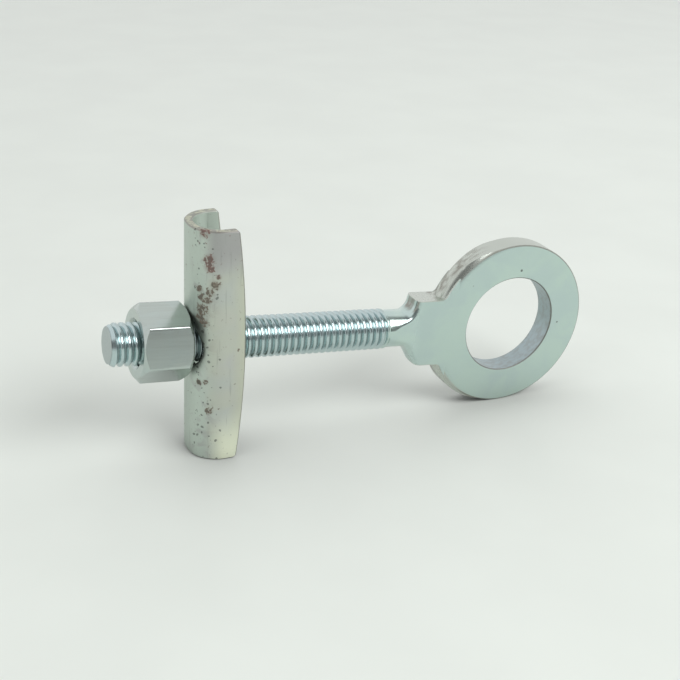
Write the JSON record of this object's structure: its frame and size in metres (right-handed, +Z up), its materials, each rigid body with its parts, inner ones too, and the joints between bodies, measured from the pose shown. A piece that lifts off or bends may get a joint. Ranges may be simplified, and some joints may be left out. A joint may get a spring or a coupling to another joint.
{
  "type": "motorcycle chain adjuster",
  "caption": "Motorcycle chain adjuster: a forged eye bolt with a flat ring for the axle, run through a folded channel plate and drawn in by a hexagon nut.",
  "frame": {"origin": "centre of the axle eye, midway between its two flat faces", "axes": "+Y along the axle, +Z up, -X from the eye towards the nut and the bolt's end"},
  "size_m": [0.076, 0.0108, 0.0343],
  "materials": {
    "bolt_zinc": "dull zinc plating on forged and rolled steel",
    "plate_zinc": "worn zinc plating with a yellowish passivate and rust along the folds",
    "nut_zinc": "smooth zinc plating"
  },
  "bodies": {
    "plate": {"end_plate": "plate_zinc"},
    "nut": {"adjusting_nut": "nut_zinc"},
    "bolt": {"eye_bolt": "bolt_zinc"}
  },
  "joints": [
    {"name": "nut_turn", "type": "hinge", "parent": "plate", "child": "nut", "pos_m": [-0.05203, 0, 0.00416], "axis": [0.9964, 0, -0.0845], "range_deg": [-1264, 10444]},
    {"name": "bolt_draw", "type": "slide", "parent": "plate", "child": "bolt", "axis": [-0.9964, 0, 0.0845], "range_m": [-0.0035, 0.029]}
  ],
  "couplings": [
    {"joint": "nut_turn", "follows": "bolt_draw", "rad_per_m": 6283.2}
  ]
}
